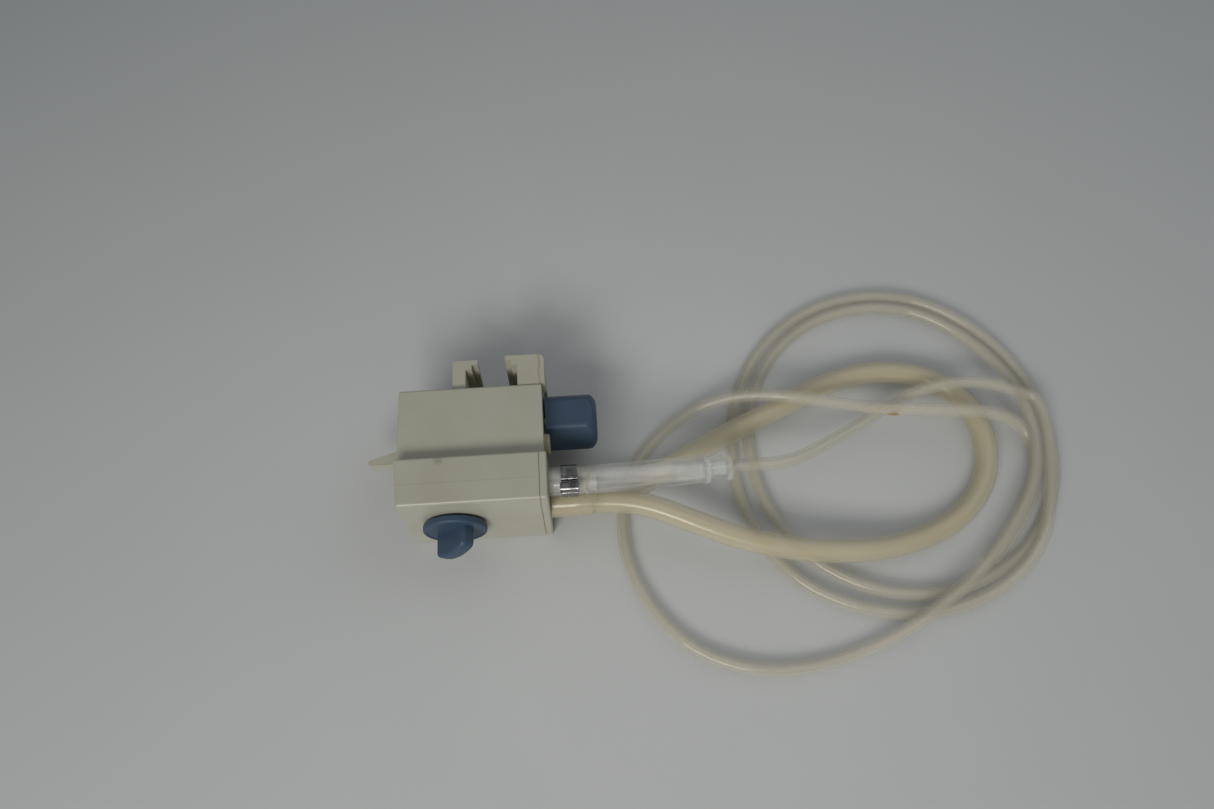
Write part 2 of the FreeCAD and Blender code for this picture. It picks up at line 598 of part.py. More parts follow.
node("spring_seat", cut("spring_seat_cut",
     cylinder("seat_disc", 7.0, 2.2, "y", ("knob_x", 7.0, "knob_z")),
     [cylinder("seat_thread", "spindle_radius + running_gap", 4.2, "y", ("knob_x", 6.0, "knob_z"))]))


def coil_spring(name, coil_radius, wire_radius, pitch, length, axis, start):
    """Round wire on a helix, placed along an axis."""
    obj = doc.addObject("Part::Feature", name)
    path = Part.makeHelix(pitch, length, coil_radius)
    ring = Part.Wire([Part.makeCircle(wire_radius, Vec(coil_radius, 0, 0), Vec(0, 1, 0))])
    obj.Shape = Part.Wire(path.Edges).makePipeShell([ring], True, True)
    place(obj, *start, rotation=ALONG[axis])
    return obj


WIRE = 0.45
node("regulating_spring", coil_spring("spring_wire", 5.0, WIRE, 1.6, 4.0, "y",
                                      ("knob_x", 9.3 + WIRE, "knob_z")))
node("diaphragm_plate", cylinder("plate_disc", 8.0, 1.0, "y", ("knob_x", 14.3, "knob_z")))
DIAPHRAGM_RADIUS = 13.0
node("diaphragm", cylinder("diaphragm_disc", DIAPHRAGM_RADIUS, 0.6, "y", ("knob_x", 15.3, "knob_z")))
node("diaphragm_ring", cut("diaphragm_ring_cut",
     cylinder("clamp_ring_outer", 14.5, 2.4, "y", ("knob_x", 12.9, "knob_z")),
     [cylinder("clamp_ring_inner", 10.5, 4.0, "y", ("knob_x", 12, "knob_z"))]))
node("valve_chamber", cut("valve_chamber_cut",
     cylinder("chamber_outer", 14.5, 3.6, "y", ("knob_x", 15.9, "knob_z")),
     [cylinder("chamber_inner", 10.5, 2.4, "y", ("knob_x", 15.9, "knob_z")),
      cylinder("chamber_port", 2.0, 3.0, "y", ("knob_x", 17.5, "knob_z")),
      cylinder("chamber_side_port", 0.9, 8.0, "x", (31, 17.2, "knob_z"))]))
node("valve_poppet", fuse("valve_poppet_fused",
     [cylinder("poppet_stem", 1.2, 3.3, "y", ("knob_x", 16.0, "knob_z")),
      cone("poppet_head", 1.2, 3.0, 1.2, "y", ("knob_x", 16.6, "knob_z"))]))

# ---------------------------------------------------------------- ejector and hose ports
EJECTOR_X = 51.0
node("ejector_body", cut("ejector_body_cut",
     box("ejector_block", (8.0, 11.0, 42.0), (EJECTOR_X - 4, 5.5, 4.0)),
     [cylinder("ejector_bore", 2.6, 40.0, "z", (EJECTOR_X, "suction_y", 5.0)),
      cylinder("suction_gallery", 2.2, 5.0, "x", (EJECTOR_X, "suction_y", "suction_z")),
      cylinder("supply_gallery", 1.4, 5.0, "x", (EJECTOR_X, "supply_y + 1.5", "supply_z")),
      cylinder("exhaust_gallery", 1.8, 5.0, "x", (EJECTOR_X, "exhaust_y", "exhaust_z"))]))
node("ejector_nozzle", cut("ejector_nozzle_cut",
     fuse("nozzle_blank", [cylinder("nozzle_barrel", 2.6, 8.0, "z", (EJECTOR_X, "suction_y", 27.0)),
                           cone("nozzle_tip", 1.0, 2.2, 3.0, "z", (EJECTOR_X, "suction_y", 24.0))]),
     [cylinder("nozzle_jet", 0.4, 12.0, "z", (EJECTOR_X, "suction_y", 23.5))]))
node("ejector_diffuser", cut("ejector_diffuser_cut",
     cylinder("diffuser_barrel", 2.6, 9.0, "z", (EJECTOR_X, "suction_y", 13.0)),
     [cone("diffuser_bore", 1.6, 0.9, 9.0, "z", (EJECTOR_X, "suction_y", 13.0))]))
node("link_tube", cut("link_tube_cut",
     cylinder("link_outer", 1.5, 9.5, "x", (37.3, 17.2, "knob_z")),
     [cylinder("link_inner", 0.8, 12.0, "x", (36.5, 17.2, "knob_z"))]))

BARB_FROM = 55.2            # barbs start against the ejector body
FLANGE_FROM = 59.0


def hose_barb(name, port, radius, bore, flange):
    """Hollow hose barb: flange inside the end cap, ridged spout outside it."""
    y, z = PORT_SPOTS[port]
    reach = dim("case_length") + dim("barb_length") - BARB_FROM
    pieces = [cylinder(name + "_tube", radius, reach, "x", (BARB_FROM, y, z)),
              cylinder(name + "_flange", flange, HOUSING_END - FLANGE_FROM, "x", (FLANGE_FROM, y, z))]
    ridge_count = 3
    for ridge in range(ridge_count):
        ridge_from = dim("case_length") + 6 + ridge * 4.6
        pieces.append(cone(f"{name}_ridge_{ridge}", radius + 0.45, radius, 3.4, "x", (ridge_from, y, z)))
    return node(name, cut(name + "_cut", fuse(name + "_blank", pieces),
                          [cylinder(name + "_bore", bore, reach + 2, "x", (BARB_FROM - 1, y, z))]))


hose_barb("suction_barb", "suction", 4.6, 3.0, 6.2)
hose_barb("supply_barb", "supply", 3.2, 1.8, 4.6)
hose_barb("exhaust_barb", "exhaust", 3.2, 1.8, 4.6)

# ---------------------------------------------------------------- shut-off lever
LEVER_LOW = dim("screw_z") - dim("lever_thick") / 2
TIP_X = -17.5
lever = new_body("lever_arm", 0, 0, LEVER_LOW)
profile = new_sketch(lever, "lever_profile")
draw_outline(profile, [(TIP_X, 29.9), ("lever_x", 30.2), ("lever_x", 37.8), (0.6, 37.8), (TIP_X, 32.3)])
pad(lever, profile, "lever_pad", "lever_thick")
round_body(lever, "lever_tip_rounds", 1.1,
           lambda edge: runs_along(edge, Z_AXIS) and edge.CenterOfMass.x < TIP_X + 0.1)
hub = cylinder("lever_hub", 4.6, HUB_HIGH - HUB_LOW, "z", ("lever_x", "lever_y", HUB_LOW))
node("shutoff_lever", cut("shutoff_lever_cut", fuse("lever_fused", [lever, hub]),
     [cylinder("lever_bore", PIN_RADIUS + dim("running_gap"), 20.0, "z", ("lever_x", "lever_y", 12))]))
node("lever_pin", cylinder("lever_pin_rod", PIN_RADIUS, 32.4, "z", ("lever_x", "lever_y", 5.5)))
VALVE_X = 20.0
node("shutoff_plunger", fuse("plunger_fused",
     [cylinder("plunger_rod", 1.8, 12.0, "x", (12.9, "lever_y", "screw_z")),
      cylinder("plunger_head", 3.0, 1.2, "x", (12.9, "lever_y", "screw_z"))]))
node("shutoff_valve_body", cut("shutoff_valve_cut",
     box("valve_block", (14.0, 10.0, 12.0), (VALVE_X, 29.0, dim("screw_z") - 6)),
     [cylinder("plunger_bore", 1.85, 8.0, "x", (VALVE_X - 1, "lever_y", "screw_z")),
      cylinder("valve_gallery", 1.2, 10.0, "x", (VALVE_X + 6, "lever_y", "screw_z"))]))
node("plunger_spring", coil_spring("plunger_spring_wire", 2.5, 0.5, 1.8, 3.6, "x",
                                   (15.7, "lever_y", "screw_z")))

# ---------------------------------------------------------------- hose clamp and connector
CLAMP_FROM, CLAMP_WIDTH = 71.0, 7.0
BAND = 0.6
band_inner = dim("clear_hose_radius") + 0.05
band = cut("clamp_band", cylinder("band_outer", band_inner + BAND, CLAMP_WIDTH, "x",
                                  (CLAMP_FROM, "suction_y", "suction_z")),
           [cylinder("band_inner", band_inner, CLAMP_WIDTH + 2, "x",
                     (CLAMP_FROM - 1, "suction_y", "suction_z"))])
EAR_LEAN = 38.0             # the ear points up and to the front
EAR_RADIUS, EAR_WIDTH = 2.2, 8.0
EAR_REACH = band_inner + BAND + 3.0
lean = FreeCAD.Rotation(Vec(1, 0, 0), EAR_LEAN)


def by_the_band(obj, across, out, start):
    """Place a solid by its distance across and outward from the hose's axis, turned to the ear's lean."""
    spot = lean.multVec(Vec(0, across, out))
    place(obj, start, dim("suction_y") + spot.y, dim("suction_z") + spot.z, lean.multiply(obj.Placement.Rotation))
    return obj


def roll(name, radius, length, across, out, start):
    obj = doc.addObject("Part::Cylinder", name)
    obj.Radius = radius
    obj.Height = length
    obj.Placement.Rotation = ALONG["x"]
    return by_the_band(obj, across, out, start)


WAIST = 1.8
waist = doc.addObject("Part::Box", "clamp_waist")
waist.Length = CLAMP_WIDTH
waist.Width = WAIST
waist.Height = 2.0
by_the_band(waist, -WAIST / 2, band_inner + BAND / 2, CLAMP_FROM)
ear = cut("clamp_ear_cut", fuse("clamp_ear_blank",
          [waist, roll("ear_outer", EAR_RADIUS, EAR_WIDTH, 0, EAR_REACH, CLAMP_FROM - 0.5)]),
          [roll("ear_inner", EAR_RADIUS - BAND, EAR_WIDTH + 2, 0, EAR_REACH, CLAMP_FROM - 1.5)])
TAB_RADIUS = 1.0
tabs = [roll(f"clamp_tab_{index}", TAB_RADIUS, CLAMP_WIDTH, side * 3.2, band_inner + BAND - 0.4, CLAMP_FROM)
        for index, side in enumerate((-1, 1))]
room = cylinder("clamp_hose_room", band_inner, CLAMP_WIDTH + 2, "x", (CLAMP_FROM - 1, "suction_y", "suction_z"))
node("ear_clamp", cut("ear_clamp_cut", fuse("ear_clamp_fused", [band, ear] + tabs), [room]))

# ---------------------------------------------------------------- hoses
# Route points are from the case's lower front left corner; each run is straight and each corner an arc.
CLEAR_ROUTE = [(65.4, 11.0, 39.7), (88.0, 11.0, 39.7), (111.0, 12.2, 38.4), (134.0, 14.4, 35.6)]
THICK_ROUTE = [
    (65.4, 7.5, 23.0), (87, 7.5, 23.0), (108, 5, 22.2), (132, -5, 18), (153, -13, 14.5), (177, -19, 13.6),
    (201, -21, 12.2), (227, -18, 7), (252, -9, 5.6), (270, 7, 5.6), (278, 29, 5.6), (274, 53, 5.6),
    (257, 69, 5.6), (232, 74, 5.6), (206, 69, 6.5), (181, 55, 11), (157, 43, 14), (138, 35, 11),
    (121, 25.5, 11.5), (104, 15.5, 13.2), (85, 12.5, 11), (65.7, 12.5, 10.0)]
THIN_LEAD = [
    (146.3, 15.6, 34.1), (162, 16.6, 31), (178, 20, 25), (199, 32, 17), (220, 45, 9), (235, 54, 10),
    (248, 57, 15.5), (264, 60, 16), (282, 60, 13.5), (297, 55, 11), (302.6, 52.7, 9.4)]
THIN_LOOP = [
    (268, -25, 9.3), (257, -34, 10.4), (239, -46, 11), (221, -57, 7), (200, -64, 3.2), (175, -70, 3.2),
    (149, -69, 3.2), (125, -59, 3.2), (108, -40, 3.2), (98, -16, 3.2), (98, 10, 3.2), (105, 31, 3.2),
    (119, 47, 3.2), (137, 59, 5), (157, 60, 15), (177, 56, 21), (196, 52, 20.5), (218, 48, 18.5),
    (241, 46, 17), (260, 44, 18), (277, 42, 15.5), (291, 37.5, 7.0)]
BEND_SHARE = 0.45           # share of the shorter run that each corner's arc takes


def hose_path(route):
    """Straight runs joined by tangent arcs, and the radius of each arc."""
    points = [Vec(x + dim("left"), y + dim("front"), z) for x, y, z in route]
    edges = []
    radii = []
    start = points[0]
    for index in range(1, len(points) - 1):
        corner = points[index]
        before = points[index - 1] - corner
        after = points[index + 1] - corner
        turn = math.pi - before.getAngle(after)
        reach = BEND_SHARE * min(before.Length, after.Length)
        radius = reach / math.tan(turn / 2)
        before.normalize()
        after.normalize()
        arc_start = corner + before * reach
        arc_end = corner + after * reach
        inward = before + after
        inward.normalize()
        middle = corner + inward * (math.hypot(radius, reach) - radius)
        edges.append(Part.LineSegment(start, arc_start).toShape())
        edges.append(Part.Arc(arc_start, middle, arc_end).toShape())
        radii.append(radius)
        start = arc_end
    edges.append(Part.LineSegment(start, points[-1]).toShape())
    return Part.Wire(edges), radii


def hose(name, route, radius_alias):
    """Plain round tube along a route."""
    radius = dim(radius_alias)
    path, radii = hose_path(route)
    first = path.Edges[0]
    heading = first.tangentAt(first.FirstParameter)
    ring = Part.Wire([Part.makeCircle(radius, first.valueAt(first.FirstParameter), heading)])
    obj = doc.addObject("Part::Feature", name + "_tube")
    obj.Shape = path.makePipeShell([ring], True, False)
    ratio = obj.Shape.Volume / (math.pi * radius ** 2 * path.Length)
    print(f"{name}: length {path.Length:.0f} mm, smallest radius {min(radii):.0f} mm "
          f"({min(radii) / radius / 2:.1f} diameters), volume against section x length {ratio:.4f}")
    print("   radii", [round(value) for value in radii])
    return node(name, obj)


hose("clear_hose", CLEAR_ROUTE, "clear_hose_radius")
hose("thick_hose", THICK_ROUTE, "thick_hose_radius")
hose("thin_hose_lead", THIN_LEAD, "thin_hose_radius")
hose("thin_hose_loop", THIN_LOOP, "thin_hose_radius")

# The turns of the thin hose lie as one flat ring, wider where they bunch together on the right.
COIL_HEIGHT = 2 * dim("thin_hose_radius") + 0.05


def oval(name, middle_x, middle_y, half_x, half_y, height):
    ring = Part.Ellipse(Vec(0, half_y, 0), Vec(half_x, 0, 0), Vec(0, 0, 0)) if half_y > half_x else \
        Part.Ellipse(Vec(half_x, 0, 0), Vec(0, half_y, 0), Vec(0, 0, 0))
    obj = doc.addObject("Part::Feature", name)
    obj.Shape = Part.Face(Part.Wire([ring.toShape()])).extrude(Vec(0, 0, height))
    place(obj, middle_x, middle_y, 0)
    return obj


node("thin_hose_coil", cut("thin_hose_coil_cut",
     oval("coil_outer", 232, 33.8, 82.7, 89.5, COIL_HEIGHT),
     [oval("coil_inner", 228.5, 38, 63, 72, COIL_HEIGHT)]))

# Clear stepped connector between the clear hose and the thin hose, in line with the clear hose's end.
hose_end = Vec(*CLEAR_ROUTE[-1])
connector_line = hose_end - Vec(*CLEAR_ROUTE[-2])
connector_line.normalize()
CONNECTOR_STEPS = [(-13.0, 0.0, 4.2), (0.0, 2.2, 6.8), (2.2, 10.2, 3.6), (10.2, 12.4, 6.6), (12.4, 20.4, 1.6)]
steps = []
for index, (start, end, radius) in enumerate(CONNECTOR_STEPS):
    step = doc.addObject("Part::Cylinder", f"connector_step_{index}")
    step.Radius = radius
    step.Height = end - start
    spot = hose_end + connector_line * start
    place(step, spot.x, spot.y, spot.z, FreeCAD.Rotation(Vec(0, 0, 1), connector_line))
    steps.append(step)
bore = doc.addObject("Part::Cylinder", "connector_bore")
bore.Radius = 0.9
bore.Height = 40.0
spot = hose_end - connector_line * 14
place(bore, spot.x, spot.y, spot.z, FreeCAD.Rotation(Vec(0, 0, 1), connector_line))
node("hose_connector", cut("hose_connector_cut", fuse("connector_blank", steps), [bore]))

# ---------------------------------------------------------------- check and write
doc.recompute()
for obj in doc.Objects:
    if "Invalid" in obj.State or "Error" in obj.State:
        raise RuntimeError(f"{obj.Name} ({obj.Label}) failed: {obj.State}")
os.makedirs("parts", exist_ok=True)
for name, obj in NODES.items():
    shape = obj.Shape
    if shape.isNull() or not shape.isValid() or not shape.Solids:
        raise RuntimeError(f"{name} has no valid solid")
    shape.exportStep(f"parts/{name}.step")
unit = Part.Compound([obj.Shape for name, obj in NODES.items()
                      if not name.startswith(("clear_hose", "thick_hose", "thin_hose", "hose_connector"))])
room = unit.BoundBox
print(f"{len(NODES)} nodes; unit without hoses x {room.XMin:.2f}..{room.XMax:.2f}, "
      f"y {room.YMin:.2f}..{room.YMax:.2f}, z {room.ZMin:.2f}..{room.ZMax:.2f}")
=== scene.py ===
import json
import math

import bmesh
import bpy
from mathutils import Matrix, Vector


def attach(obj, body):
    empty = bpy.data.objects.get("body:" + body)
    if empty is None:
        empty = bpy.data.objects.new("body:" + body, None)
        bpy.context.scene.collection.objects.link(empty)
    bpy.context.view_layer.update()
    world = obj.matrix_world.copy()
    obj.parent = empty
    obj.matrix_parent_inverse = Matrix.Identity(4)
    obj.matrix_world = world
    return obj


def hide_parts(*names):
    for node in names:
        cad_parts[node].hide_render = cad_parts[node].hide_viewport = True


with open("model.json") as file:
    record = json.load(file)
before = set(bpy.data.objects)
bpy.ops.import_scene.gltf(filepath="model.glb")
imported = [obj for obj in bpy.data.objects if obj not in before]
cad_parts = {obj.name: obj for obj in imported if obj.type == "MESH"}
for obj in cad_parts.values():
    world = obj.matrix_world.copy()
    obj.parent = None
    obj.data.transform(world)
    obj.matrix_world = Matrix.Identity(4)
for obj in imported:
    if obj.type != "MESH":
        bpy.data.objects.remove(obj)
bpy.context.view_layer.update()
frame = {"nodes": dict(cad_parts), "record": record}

# Places are in millimetres from the case's lower front left corner, as in the CAD source:
# x along the case towards the hose ports, y back towards the rail clamp, z up.
# Lengths inside the materials, and of the floor and the lights, are in metres.
LEFT = -35.55
FRONT = -28.9
MM_PER_METRE = 1000


def at(x, y, z):
    """A place in the row frame, in metres."""
    return Vector((x + LEFT, y + FRONT, z)) / MM_PER_METRE


def link(name, data):
    piece = bpy.data.objects.new(name, data)
    bpy.context.scene.collection.objects.link(piece)
    return piece


# ---------------------------------------------------------------- camera
CAMERA_PLACE = (80.9, -144.6, 433.7)
CAMERA_TILT = 26            # degrees from straight down
CAMERA_TURN = -3.74
SENSOR_WIDTH = 36
LENS = 28.47

camera_data = bpy.data.cameras.new("camera")
camera_data.sensor_width = SENSOR_WIDTH
camera_data.lens = LENS
camera = link("camera", camera_data)
camera.location = at(*CAMERA_PLACE)
camera.rotation_euler = (math.radians(CAMERA_TILT), 0, math.radians(CAMERA_TURN))
bpy.context.scene.camera = camera


# ---------------------------------------------------------------- materials
class Shader:
    """A node material with one Principled shader."""

    def __init__(self, name):
        self.material = bpy.data.materials.new(name)
        self.material.use_nodes = True
        self.tree = self.material.node_tree
        self.base = self.tree.nodes["Principled BSDF"]
        self.place = self.add("ShaderNodeTexCoord").outputs["Object"]

    def add(self, kind, **settings):
        node = self.tree.nodes.new(kind)
        for name, value in settings.items():
            setattr(node, name, value)
        return node

    def feed(self, socket, value):
        """Link an output to a socket, or set the socket to a constant."""
        if isinstance(value, bpy.types.NodeSocket):
            self.tree.links.new(value, socket)
        else:
            socket.default_value = value

    def set(self, **values):
        """Feed sockets of the Principled shader, by name."""
        for name, value in values.items():
            self.feed(self.base.inputs[name.replace("_", " ")], value)

    def noise(self, scale, detail, stretch=(1, 1, 1)):
        """Cloudy noise from 0 to 1, drawn out into lines along an axis whose stretch is small."""
        mapping = self.add("ShaderNodeMapping")
        self.feed(mapping.inputs["Vector"], self.place)
        mapping.inputs["Scale"].default_value = stretch
        texture = self.add("ShaderNodeTexNoise")
        self.feed(texture.inputs["Vector"], mapping.outputs["Vector"])
        texture.inputs["Scale"].default_value = scale
        texture.inputs["Detail"].default_value = detail
        texture.inputs["Roughness"].default_value = 0.55
        return texture.outputs["Fac"]

    def remap(self, value, low, high, to_low=0.0, to_high=1.0):
        node = self.add("ShaderNodeMapRange")
        self.feed(node.inputs["Value"], value)
        for name, number in (("From Min", low), ("From Max", high), ("To Min", to_low), ("To Max", to_high)):
            node.inputs[name].default_value = number
        return node.outputs["Result"]

    def numbers(self, operation, *values):
        """The result of a Math node."""
        node = self.add("ShaderNodeMath", operation=operation)
        for socket, value in zip(node.inputs, values):
            self.feed(socket, value)
        return node.outputs[0]

    def vectors(self, operation, *values):
        """The outputs of a Vector Math node."""
        node = self.add("ShaderNodeVectorMath", operation=operation)
        for socket, value in zip(node.inputs, values):
            self.feed(socket, value)
        return node.outputs

    def times(self, first, second):
        return self.numbers("MULTIPLY", first, second)

    def plus(self, first, second):
        return self.numbers("ADD", first, second)

    def mix(self, share, first, second):
        node = self.add("ShaderNodeMix", data_type="RGBA")
        self.feed(node.inputs["Factor"], share)
        self.feed(node.inputs["A"], first)
        self.feed(node.inputs["B"], second)
        return node.outputs["Result"]

    def along(self, axis):
        """The place on the piece along one axis."""
        split = self.add("ShaderNodeSeparateXYZ")
        self.feed(split.inputs[0], self.place)
        return split.outputs[axis.upper()]

    def line(self, value, middle, half, soft):
        """1 where the value is within half of the middle, fading to 0 over soft."""
        distance = self.numbers("ABSOLUTE", self.numbers("SUBTRACT", value, middle))
        return self.remap(distance, half + soft, half)

    def spot(self, place, radius, soft, squeeze=(1, 1, 1)):
        """1 within radius of a place, fading to 0 over soft; it reaches further along a squeezed axis."""
        offset = self.vectors("SUBTRACT", self.place, place)["Vector"]
        scaled = self.vectors("MULTIPLY", offset, squeeze)["Vector"]
        return self.remap(self.vectors("LENGTH", scaled)["Value"], radius + soft, radius)

    def edges(self, width):
        """1 along the piece's outer edges, falling to 0 on its flats."""
        bevel = self.add("ShaderNodeBevel", samples=6)
        bevel.inputs["Radius"].default_value = width
        plain = self.add("ShaderNodeNewGeometry").outputs["Normal"]
        likeness = self.vectors("DOT_PRODUCT", bevel.outputs["Normal"], plain)["Value"]
        return self.remap(likeness, 0.995, 0.90)

    def bump(self, height, strength, distance):
        node = self.add("ShaderNodeBump")
        self.feed(node.inputs["Height"], height)
        node.inputs["Strength"].default_value = strength
        node.inputs["Distance"].default_value = distance
        self.set(Normal=node.outputs["Normal"])


def rgb(red, green, blue):
    return (red, green, blue, 1.0)


# Noise scales, in clouds to a metre.
MOTTLING = 38
WEAR = 160
PLASTIC_SHEEN = 90
GRAIN = 2600
SCRATCHES = 420
BRUSHING = 900
METAL_SHEEN = 240
HAZE = 26
# painted highlight lines along the clear hose
HIGHLIGHT_STREAKS = 330
TUBE_SHEEN = 34
WAVES = 120
PAINT = 9

COMMON = (0.3, 0.7)         # nearly all of a noise lies between these
EDGE_WEAR_AND_HIGHLIGHT_WIDTH = 0.0011       # how far edge wear, and on the blue knob a painted edge highlight, reach in from an edge


def moulded(name, colours, edge_wear_and_highlight, rough, edge_share=0.6, coat=0.18, marks=None):
    """Moulded plastic: faint mottling, rubbed edges, fine grain and hairline scratches. The edge colour is
    rubbed wear; on the blue knob, whose edge colour is lighter, it also paints a rim highlight.
    """
    shader = Shader(name)
    tone = shader.mix(shader.remap(shader.noise(MOTTLING, 5), 0.38, 0.68), *colours)
    patchy = shader.remap(shader.noise(WEAR, 4), 0.30, 0.62, 0.25, 1.0)
    # rubbed edges: wear, and on the blue knob a painted rim highlight
    rubbed_and_lit_edges = shader.times(shader.edges(EDGE_WEAR_AND_HIGHLIGHT_WIDTH), patchy)
    tone = shader.mix(shader.times(rubbed_and_lit_edges, edge_share), tone, edge_wear_and_highlight)
    for share, mark in marks(shader) if marks else ():
        tone = shader.mix(share, tone, mark)
    scratched = shader.mix(0.35, shader.noise(GRAIN, 2), shader.noise(SCRATCHES, 2, (0.12, 1, 1)))
    shader.bump(scratched, strength=0.35, distance=0.00003)
    shader.set(Base_Color=tone)
    shader.set(Roughness=shader.remap(shader.noise(PLASTIC_SHEEN, 4), *COMMON, rough - 0.06, rough + 0.08))
    shader.set(Coat_Weight=coat)
    shader.set(Coat_Roughness=0.22)
    return shader.material


def metal(name, colours, rough, stretch, brushing=BRUSHING):
    """Drawn or turned metal with fine lines along the stretched axis."""
    shader = Shader(name)
    lines = shader.noise(brushing, 3, stretch)
    shader.bump(lines, strength=0.25, distance=0.00002)
    shader.set(Base_Color=shader.mix(shader.remap(lines, 0.35, 0.7), *colours))
    shader.set(Metallic=1.0)
    shader.set(Roughness=shader.remap(shader.noise(METAL_SHEEN, 4), *COMMON, rough - 0.05, rough + 0.09))
    return shader.material


def tube(name, colours, rough, clarity, cover, highlight_streaking=0.0, marks=None):
    """Milky tubing: cover is the share of light each wall holds back, clarity how glassy the rest is.

    Where highlight streaking is asked for, the cover varies in long lines along the case's long axis:
    painted highlight lines, stripes where the wall shows whiter.
    """
    shader = Shader(name)
    haze = shader.remap(shader.noise(HAZE, 3), 0.35, 0.68)
    tone = shader.mix(haze, *colours)
    # painted highlight: long lines of more cover, which show as lighter stripes along the tube
    highlight_lines = shader.noise(HIGHLIGHT_STREAKS, 2, (0.03, 1, 1))
    opacity = shader.remap(highlight_lines, 0.35, 0.65, cover - highlight_streaking, cover + highlight_streaking)
    opacity = shader.plus(opacity, shader.remap(haze, 0.0, 1.0, -0.015, 0.015))
    for share, mark in marks(shader) if marks else ():
        tone = shader.mix(share, tone, mark)
        opacity = shader.plus(opacity, share)
    shader.bump(shader.noise(WAVES, 2), strength=0.05, distance=0.00005)
    shader.set(Base_Color=tone)
    shader.set(Alpha=shader.remap(opacity, 0.0, 1.0))
    shader.set(Roughness=shader.remap(shader.noise(TUBE_SHEEN, 2), *COMMON, rough, rough + 0.05))
    shader.set(Transmission_Weight=clarity)
    shader.set(IOR=1.34)
    shader.set(Coat_Weight=1.0)
    shader.set(Coat_Roughness=rough * 0.7)
    return shader.material


# Where the marks are.
PARTING_Y = 9.8
SMUDGE_PLACE = (18.4, 20.2, 50)
RUN_X = 63.6
GLUE_X = 82.0
STAIN_PLACE = (230.8, 43.6, 18.0)
SMEAR_PLACE = (228.0, 45.6, 20.6)


def front_marks(shader):
    """A faint parting line round the front half, and a rubbed mark on its top."""
    parting = shader.line(shader.along("y"), at(0, PARTING_Y, 0).y, half=0.00007, soft=0.00010)
    smudge = shader.times(shader.spot(at(*SMUDGE_PLACE), 0.0012, 0.0015), shader.noise(700, 3))
    return ((shader.times(parting, 0.35), rgb(0.24, 0.22, 0.15)), (smudge, rgb(0.27, 0.25, 0.18)))


def jaw_marks(shader):
    """A yellowed run down the fixed jaw's outer edge."""
    wander = shader.remap(shader.noise(70, 2, (1, 1, 0.6)), *COMMON, -0.0009, 0.0009)
    run = shader.line(shader.plus(shader.along("x"), wander), at(RUN_X, 0, 0).x, half=0.00022, soft=0.0004)
    return ((shader.times(run, 0.55), rgb(0.34, 0.25, 0.12)),)


def glue_marks(shader):
    """A wavy line of dried glue round the clear hose, beside its clamp."""
    wander = shader.remap(shader.noise(150, 2), *COMMON, -0.0012, 0.0012)
    ring = shader.line(shader.plus(shader.along("x"), wander), at(GLUE_X, 0, 0).x, half=0.00025, soft=0.0004)
    return ((shader.times(ring, 0.75), rgb(0.45, 0.33, 0.15)),)


def stain_marks(shader):
    """A small rust-coloured stain on the thin hose, and a faint brown smear above it."""
    stain = shader.spot(at(*STAIN_PLACE), 0.0010, 0.0005, (0.42, 1, 1))
    smear = shader.spot(at(*SMEAR_PLACE), 0.0008, 0.0016, (0.14, 1, 1))
    return ((shader.times(smear, 0.35), rgb(0.46, 0.34, 0.22)),
            (shader.times(stain, 0.9), rgb(0.40, 0.21, 0.03)))


# Each pair is a colour and what it turns to in patches, lines or haze.
CASE_IVORY = (rgb(0.472, 0.467, 0.380), rgb(0.441, 0.431, 0.339))
JAW_IVORY = (rgb(0.48, 0.475, 0.385), rgb(0.45, 0.44, 0.345))
KNOB_BLUE = (rgb(0.040, 0.078, 0.130), rgb(0.034, 0.066, 0.112))
PORT_WHITE = (rgb(0.50, 0.50, 0.45), rgb(0.45, 0.45, 0.40))
BOSS_CREAM = (rgb(0.43, 0.40, 0.27), rgb(0.38, 0.34, 0.19))
PLUG_BROWN = (rgb(0.30, 0.26, 0.13), rgb(0.20, 0.17, 0.08))
PALE_RUBBER = (rgb(0.33, 0.32, 0.25), rgb(0.29, 0.28, 0.21))
BLACK_RUBBER = (rgb(0.025, 0.025, 0.026), rgb(0.04, 0.04, 0.04))
STEEL_GREY = (rgb(0.60, 0.60, 0.61), rgb(0.42, 0.42, 0.43))
BAND_GREY = (rgb(0.38, 0.37, 0.36), rgb(0.10, 0.10, 0.10))
BRASS_GOLD = (rgb(0.72, 0.55, 0.27), rgb(0.55, 0.40, 0.18))
CLEAR_TINT = (rgb(0.92, 0.92, 0.88), rgb(0.86, 0.86, 0.81))
THICK_TINT = (rgb(0.76, 0.695, 0.48), rgb(0.71, 0.645, 0.435))
THIN_TINT = (rgb(0.77, 0.73, 0.585), rgb(0.71, 0.67, 0.53))
FITTING_TINT = (rgb(0.92, 0.94, 0.91), rgb(0.88, 0.90, 0.86))
PAINT_PALE = (rgb(0.60, 0.61, 0.60), rgb(0.62, 0.63, 0.62))
# painted shade: the floor's colour far from its lit middle
FLOOR_SHADE_COLOUR = rgb(0.40, 0.42, 0.42)

CASE_WORN = rgb(0.40, 0.34, 0.20)
FRONT_WORN = rgb(0.44, 0.40, 0.27)
JAW_WORN = rgb(0.42, 0.36, 0.22)
ALONG_X = (0.04, 1.0, 1.0)
ALONG_Y = (1.0, 0.04, 1.0)
